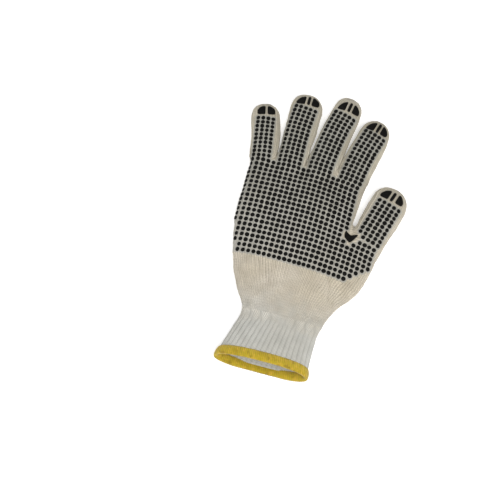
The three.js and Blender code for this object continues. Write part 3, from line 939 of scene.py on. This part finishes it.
def makeDots():
    look = gripDots
    random.seed(7)
    dotMesh = makeOneDot()
    bm = bmesh.new()
    made = 0
    for x, y in dotPlaces():
        x += random.uniform(-1, 1) * look["jitter"]
        y += random.uniform(-1, 1) * look["jitter"]
        size = random.uniform(*look["sizes"])
        oval = random.uniform(*look["ovals"])
        spin = Matrix.Rotation(random.uniform(0, math.pi), 4, "Z")
        edge = readAt(palmEdges, "left", y) + readAt(fullness["palm"], "shift", y)
        inside = x - edge if y < rootY else math.inf
        if inside < np.interp(y, *look["bareEdge"]):
            continue
        onTop = inside > look["roundBand"]
        center, normal = seatAt(x, y) if onTop else sideSeat(x, y, look["roundHeight"])
        if center is None:
            continue
        turn = normal.to_track_quat("Z", "Y").to_matrix().to_4x4()
        wide = look["radius"] * size * milli * (look["fingerShare"] if y > rootY else 1)
        scale = Matrix.Diagonal((wide * oval, wide / oval, milli, 1.0))
        place = Matrix.Translation(center) @ turn @ spin @ scale
        dotMesh.transform(place)
        bm.from_mesh(dotMesh)
        dotMesh.transform(place.inverted())
        made += 1
    bpy.data.meshes.remove(dotMesh)
    dots = newPiece("grip_dots", bm, gripPrint)
    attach(dots, "root")
    print("grip dots", made)


makeKnitHand()
makeDots()

# Fingertip and crotch patches: the printed pieces, softened and down on the knit
gripPatches = {
    "voxel": 0.00032, "drop": 0.25,
    "bar": {"rounds": 8, "grow": 0.32},  # the narrow stripe in the middle of a tip
    "panel": {"rounds": 90, "grow": 0.95},  # and the wide pieces beside it
    "barVolume": 15e-9, "liftShare": 0.15,
    "aside": {"pinky": 0.3, "thumb": 0.2, "thumb_tip_patch_3": 1.2}, "othersAside": 1.1,
    "asideSlope": 0.27,
    "stretch": {  # lengths by finger against the plain piece
        "thumb": {"panel": 1.13, "bar": 1.32},
        "index": {"panel": 1.14, "bar": 1.12},
        "middle": {"panel": 1.14, "bar": 1.28},
    },
    "feelAround": 1.2, "sameSkin": 0.0015,  # skins further apart don't match
}


# Lengthens a fingertip patch toward the palm, along the plain knit
def stretchPatch(bm, plainTree, finger, factor):
    last, tip = fingerLines[finger]["points"][-2:]
    heading = (Vector(tip) - Vector(last)).normalized().to_3d()
    top = max(vertex.co.dot(heading) for vertex in bm.verts)
    for vertex in bm.verts:
        before = heightOn(plainTree, vertex.co)
        vertex.co += heading * (vertex.co.dot(heading) - top) * (factor - 1)
        after = heightOn(plainTree, vertex.co)
        if before and after:
            vertex.co.z += after - before


# How far the dressed knit stands above the plain one around a point
def dressedRise(plainTree, point):
    rises, step = [], gripPatches["feelAround"] * milli
    for dx, dy in ((0, 0), (step, 0), (-step, 0), (0, step), (0, -step)):
        at = Vector((point.x + dx, point.y + dy, 0))
        plain, dressed = heightOn(plainTree, at), heightOn(handTree, at)
        if plain and dressed and abs(plain - dressed) < gripPatches["sameSkin"]:
            rises.append(dressed - plain)
    return (max(rises) + sum(rises) / len(rises)) / 2 if rises else 0.0


def makePatches():
    look = gripPatches
    plain = bmesh.new()
    nodeCopy(plain, *handNodes)
    plainTree = BVHTree.FromBMesh(plain)
    plain.free()
    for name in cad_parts:
        if "patch" not in name:
            continue
        bm = bmesh.new()
        nodeCopy(bm, name)
        finger, inTip = name.split("_")[0], "tip" in name
        kind = "panel" if inTip and bm.calc_volume() > look["barVolume"] else "bar"
        aside = look["aside"].get(finger, look["othersAside"]) if inTip else 0
        aside = look["aside"].get(name, aside)
        bm = remeshed(bm, look["voxel"])
        smoothed(bm, look[kind]["rounds"])
        if inTip and finger in look["stretch"]:
            stretchPatch(bm, plainTree, finger, look["stretch"][finger][kind])
        bm.normal_update()
        for vertex in bm.verts:
            out = vertex.normal * look[kind]["grow"]
            out.z *= look["liftShare"]
            vertex.co += (out + Vector((aside, aside * look["asideSlope"], 0))) * milli
            vertex.co.z += dressedRise(plainTree, vertex.co) - look["drop"] * milli
        patch = newPiece(name + "_print", bm, gripPrint)
        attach(patch, "root")
        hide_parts(name)
    print("patches softened")


makePatches()

# Ribbed cuff and overlocked hem, on one outline whose top is set back from its underside
cuffEdges = {
    "y": (-111, -104.8, -95, -84, -74, -66.3),
    "left": (-39.8, -38.4, -35.6, -32.4, -30.2, -29.5),
    "right": (33.2, 32.8, 32.4, 32.4, 33.8, 36.0),
    "height": (17.4, 17.0, 16.2, 15.2, 14.6, 14.5),
    "setBack": (6.0, 6.0, 4.4, 2.2, 0.6, 0),
}
cuff = {
    "ribs": 38, "sidesPerRib": 10, "rings": 48, "from": -64.0, "to": -106.5, "wall": 0.0015,
    "ribRelief": 0.85, "ribPower": 0.45, "ribMean": 0.8, "course": 1.7,
    "ribWander": 0.05, "wanderStep": 0.7, "wanderSize": 30,
    "softRelief": 0.4, "softSize": (14, 22, 14),
    "ribsGrow": (-80, -65),  # no ribs yet where the cuff leaves the hand
    "hemBand": (-105, -98), "hemPress": 0.6,  # flatter ribs under the hem
    "proud": 0.1, "tuck": 0.4, "tuckFrom": -66.1,  # above that y it goes in under the knit
    "gatherHeight": 0.75, "gatherPitch": 8.2, "gatherLean": 0.12,
    "gatherBand": (-80, -66), "gatherTop": 14.5,
    "skinBand": (-84, -70),  # it follows the hand's skin, then its own outline
}
hem = {
    "around": 640, "section": 26, "from": -104.4, "to": -111.4, "outside": 1.45, "inside": 2.3,
    "squareness": 0.9, "yarns": 104, "slant": 2, "yarnPower": 0.8, "yarnRelief": 0.26,
    "wander": 0.45, "wanderRelief": 0.18, "wanderScale": 40,
    "edgeRelief": 0.55, "edgeWander": 0.12,
}


def signedPower(values, power):
    return np.sign(values) * np.abs(values) ** power


# Points of the cuff's outline at y, evenly spaced from the thumb side over the top
def cuffOutline(y, count):
    left, right, height = outlineAt(cuffEdges, y)
    half, belly = (right - left) / 2, bellyShare * height
    angles = np.linspace(0, 2 * math.pi, 481)  # more than enough for even spacing
    x = (left + right) / 2 + half * signedPower(np.cos(angles), 2 / sectionPower)
    rise = signedPower(np.sin(angles), 2 / sectionPower)
    z = belly + np.where(rise > 0, height - belly, belly + pressedDepth) * rise
    run = runningLength(np.hypot(np.diff(x), np.diff(z)))
    wanted = np.linspace(0, run[-1], count + 1)[:-1]
    x, z = np.interp(wanted, run, x), np.interp(wanted, run, z)
    back = readAt(cuffEdges, "setBack", y) * np.clip(z, 0, None) / height
    return np.stack([x, y + back, z], axis=1)


def ringNormals(ring):
    tangent = np.roll(ring, -1, axis=0) - np.roll(ring, 1, axis=0)
    normal = np.stack([tangent[:, 2], np.zeros(len(ring)), -tangent[:, 0]], axis=1)
    return normal / np.linalg.norm(normal, axis=1)[:, None]


# A grid wrapped into a tube of rings, with wales and courses mapped
def gridTube(around, rings, ringAt, wales, courses):
    bm = bmesh.new()
    bmesh.ops.create_grid(bm, x_segments=around, y_segments=rings, size=0.5)
    layer = bm.loops.layers.uv.new("knit")
    table = [ringAt(j / rings) for j in range(rings + 1)]
    for vertex in bm.verts:
        i = round((vertex.co.x + 0.5) * around)
        j = round((vertex.co.y + 0.5) * rings)
        for loop in vertex.link_loops:
            loop[layer].uv = (wales * i / around, courses * j / rings)
        vertex.co = spot(*table[j][i % around])
    bmesh.ops.remove_doubles(bm, verts=bm.verts, dist=1e-7)
    return bm


# The same ring of points moved on to the smooth skin that the hand ends in
def skinRing(ring, y):
    left, right, height = outlineAt(cuffEdges, y)
    moved = []
    for point in ring:
        center = spot((left + right) / 2, point[1], bellyShare * height)
        hit = wristTree.ray_cast(center, spot(*point) - center)[0]
        moved.append(inPattern(np.array(hit)) if hit else point)
    return np.array(moved)


def makeCuff():
    around = cuff["ribs"] * cuff["sidesPerRib"]
    steps = np.arange(around) / cuff["sidesPerRib"]

    def ringAt(share):
        y = between(cuff["from"], cuff["to"], share)
        ring = cuffOutline(y, around)
        normal = ringNormals(ring)
        wander = np.array([noise.noise(Vector((k * cuff["wanderStep"], y / cuff["wanderSize"], 3)))
                           for k in steps])
        rib = np.abs(np.cos(math.pi * (steps + cuff["ribWander"] * wander))) ** cuff["ribPower"]
        soft = np.array([noise.noise(Vector(p / cuff["softSize"])) for p in ring])
        grown = 1 - smoothStep(*cuff["ribsGrow"], y)
        atHem = 1 - smoothStep(*cuff["hemBand"], y)
        out = cuff["ribRelief"] * (rib - cuff["ribMean"]) * (1 - cuff["hemPress"] * atHem)
        out = (out + cuff["softRelief"] * soft) * grown
        out += cuff["proud"] - cuff["tuck"] * max(y - cuff["tuckFrom"], 0)
        upper = np.clip(ring[:, 2] / cuff["gatherTop"], 0, 1) ** 2
        gathers = ring[:, 0] + cuff["gatherLean"] * (y - cuff["gatherBand"][1])
        lift = cuff["gatherHeight"] * np.cos(2 * math.pi * gathers / cuff["gatherPitch"])
        ring[:, 2] += lift * smoothStep(*cuff["gatherBand"], y) * upper
        onHand = smoothStep(*cuff["skinBand"], y)
        if onHand > 0:
            ring = between(ring, skinRing(ring, y), onHand)
        ring = ring + normal * out[:, None]
        ring[:, 2] = np.maximum(ring[:, 2], clearance)
        return ring

    courses = (cuff["from"] - cuff["to"]) / cuff["course"]
    bm = gridTube(around, cuff["rings"], ringAt, cuff["ribs"] * 2, courses)
    piece = newPiece("rib_knit_cuff", bm, ribCotton)
    solidify = piece.modifiers.new("wall", "SOLIDIFY")
    solidify.thickness = cuff["wall"]
    solidify.offset = -1
    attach(piece, "root")
    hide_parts("ribbed_cuff")
    print("cuff", len(piece.data.polygons))


makeCuff()


def makeHem():
    around = hem["around"]
    middleY, reach = (hem["from"] + hem["to"]) / 2, (hem["from"] - hem["to"]) / 2
    steps = np.arange(around) / around

    # One ring round the glove for each share of the hem's own section
    def ringAt(share):
        cosine, sine = math.cos(2 * math.pi * share), math.sin(2 * math.pi * share)
        along, out = (signedPower(value, hem["squareness"]) for value in (cosine, sine))
        level = out * hem["outside" if out > 0 else "inside"]
        ring = cuffOutline(middleY + reach * along, around)
        scale = hem["wanderScale"]
        wander = np.array([noise.noise(Vector((k * scale, cosine / 4, 8 + sine / 4)))
                           for k in steps])
        phase = steps * hem["yarns"] + hem["slant"] * share
        yarn = np.abs(np.sin(math.pi * (phase + hem["wander"] * wander))) ** hem["yarnPower"]
        swell = hem["yarnRelief"] * (yarn - 0.5) + hem["wanderRelief"] * wander
        swell *= math.copysign(1, out) * abs(sine) ** 0.5
        ring = ring + ringNormals(ring) * (level + swell)[:, None]
        edge = hem["edgeRelief"] * yarn + hem["edgeWander"] * wander
        ring[:, 1] += along * abs(cosine) * edge
        ring[:, 2] = np.maximum(ring[:, 2], clearance)
        return ring

    bm = gridTube(around, hem["section"], ringAt, hem["yarns"], hem["slant"])
    bmesh.ops.recalc_face_normals(bm, faces=bm.faces)
    piece = newPiece("overlock_hem_yarn", bm, hemYarn)
    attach(piece, "root")
    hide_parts("overlock_hem")
    print("hem", len(piece.data.polygons))


makeHem()

# Floor and lights
studio = {
    "floorSize": 30.0, "floorColor": (246, 246, 246), "floorGlow": 0.32, "room": 0.5,
    "lamps": {  # place and diameter in metres, power in watts
        "key": {"place": (0.4, -0.7, 1.15), "size": 1.1, "power": 16.5},
        "fill": {"place": (-0.8, 0.6, 1.2), "size": 1.4, "power": 5.5},
    },
}


def makeStudio():
    white = (1, 1, 1, 1)
    bm = bmesh.new()
    bmesh.ops.create_grid(bm, x_segments=8, y_segments=8, size=studio["floorSize"] / 2)
    material = newMaterial(
        "paleFloor", Base_Color=fromSrgb(*studio["floorColor"]), Roughness=0.9,
        Specular_IOR_Level=0.1, Emission_Color=white, Emission_Strength=studio["floorGlow"])[0]
    floor = meshObject("floor", bm, material)
    for name, look in studio["lamps"].items():
        lamp = bpy.data.lights.new(name, "AREA")
        lamp.shape = "DISK"
        lamp.size = look["size"]
        lamp.energy = look["power"]
        light = addObject(name, lamp)
        light.location = look["place"]
        light.rotation_euler = lookAlong(-Vector(look["place"]))
    room = bpy.data.worlds.new("softRoom")
    room.use_nodes = True
    background = room.node_tree.nodes["Background"].inputs
    background["Color"].default_value = white
    background["Strength"].default_value = studio["room"]
    scene.world = room
    scene.view_settings.view_transform = "Standard"
    print("floor and lights made")


makeStudio()
